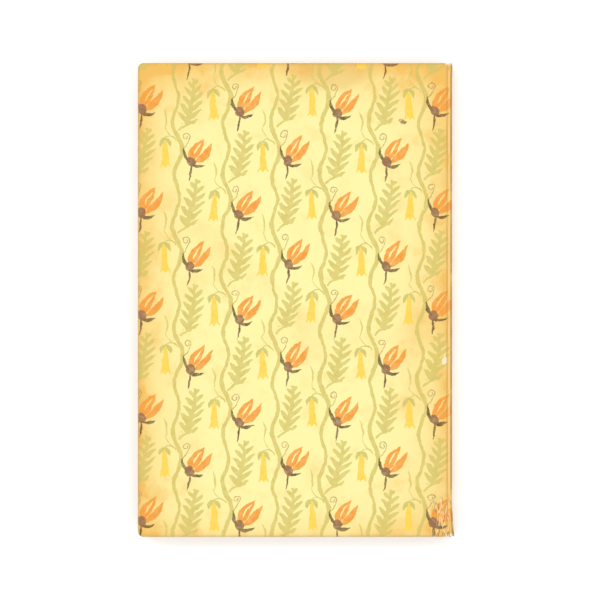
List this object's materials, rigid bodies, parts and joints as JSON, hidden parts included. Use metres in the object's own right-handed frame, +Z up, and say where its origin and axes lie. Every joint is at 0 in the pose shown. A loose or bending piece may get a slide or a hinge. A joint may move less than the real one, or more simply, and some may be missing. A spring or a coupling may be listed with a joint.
{
  "type": "small hardback book",
  "caption": "Small paper-covered hardback book lying on its front cover, with both covers and the leaves at each end opening on hinges along the flat spine.",
  "frame": {"origin": "under the middle of the closed book, on the surface it lies on", "axes": "+X towards the spine, +Y towards the head, +Z up out of the back cover"},
  "size_m": [0.12, 0.181, 0.0102],
  "materials": {
    "cover_paper": "matt printed paper",
    "board": "dense greyboard",
    "endpaper": "uncoated paper",
    "text_paper": "uncoated paper",
    "mull": "open-weave cotton",
    "lining": "kraft paper",
    "thread": "linen thread"
  },
  "bodies": {
    "text_block": {"section_1": "text_paper", "section_2": "text_paper", "section_3": "text_paper", "section_4": "text_paper", "section_5": "text_paper", "sewing_stitch_1": "thread", "sewing_stitch_2": "thread", "sewing_stitch_3": "thread", "sewing_stitch_4": "thread", "sewing_stitch_5": "thread", "spine_mull": "mull", "spine_lining": "lining", "spine_card": "board", "spine_cover_paper": "cover_paper"},
    "front_cover": {"front_cover_paper": "cover_paper", "front_board": "board", "front_mull_flange": "mull", "front_pastedown": "endpaper"},
    "back_cover": {"back_cover_paper": "cover_paper", "back_board": "board", "back_mull_flange": "mull", "back_pastedown": "endpaper"},
    "front_flyleaf": {"front_flyleaf": "endpaper"},
    "front_leaf_1": {"front_leaf_1": "text_paper"},
    "front_leaf_2": {"front_leaf_2": "text_paper"},
    "back_flyleaf": {"back_flyleaf": "endpaper"},
    "back_leaf_1": {"back_leaf_1": "text_paper"},
    "back_leaf_2": {"back_leaf_2": "text_paper"}
  },
  "joints": [
    {"name": "back_cover_open", "type": "hinge", "parent": "text_block", "child": "back_cover", "pos_m": [0.05805, 0, 0.01025], "axis": [0, 1, 0], "range_deg": [0, 180]},
    {"name": "front_cover_open", "type": "hinge", "parent": "text_block", "child": "front_cover", "pos_m": [0.05805, 0, -0.00002], "axis": [0, -1, 0], "range_deg": [0, 180]},
    {"name": "back_flyleaf_turn", "type": "hinge", "parent": "text_block", "child": "back_flyleaf", "pos_m": [0.05692, 0, 0.00787], "axis": [0, 1, 0], "range_deg": [0, 92]},
    {"name": "back_leaf_1_turn", "type": "hinge", "parent": "text_block", "child": "back_leaf_1", "pos_m": [0.05692, 0, 0.00766], "axis": [0, 1, 0], "range_deg": [0, 63.2]},
    {"name": "back_leaf_2_turn", "type": "hinge", "parent": "text_block", "child": "back_leaf_2", "pos_m": [0.05692, 0, 0.00747], "axis": [0, 1, 0], "range_deg": [0, 32.6]},
    {"name": "front_flyleaf_turn", "type": "hinge", "parent": "text_block", "child": "front_flyleaf", "pos_m": [0.05692, 0, 0.00236], "axis": [0, -1, 0], "range_deg": [0, 92]},
    {"name": "front_leaf_1_turn", "type": "hinge", "parent": "text_block", "child": "front_leaf_1", "pos_m": [0.05692, 0, 0.00257], "axis": [0, -1, 0], "range_deg": [0, 63.2]},
    {"name": "front_leaf_2_turn", "type": "hinge", "parent": "text_block", "child": "front_leaf_2", "pos_m": [0.05692, 0, 0.00277], "axis": [0, -1, 0], "range_deg": [0, 32.6]}
  ],
  "couplings": [
    {"joint": "back_flyleaf_turn", "follows": "back_cover_open", "ratio": 0.5},
    {"joint": "back_leaf_1_turn", "follows": "back_cover_open", "ratio": 0.34},
    {"joint": "back_leaf_2_turn", "follows": "back_cover_open", "ratio": 0.17},
    {"joint": "front_flyleaf_turn", "follows": "front_cover_open", "ratio": 0.5},
    {"joint": "front_leaf_1_turn", "follows": "front_cover_open", "ratio": 0.34},
    {"joint": "front_leaf_2_turn", "follows": "front_cover_open", "ratio": 0.17}
  ]
}
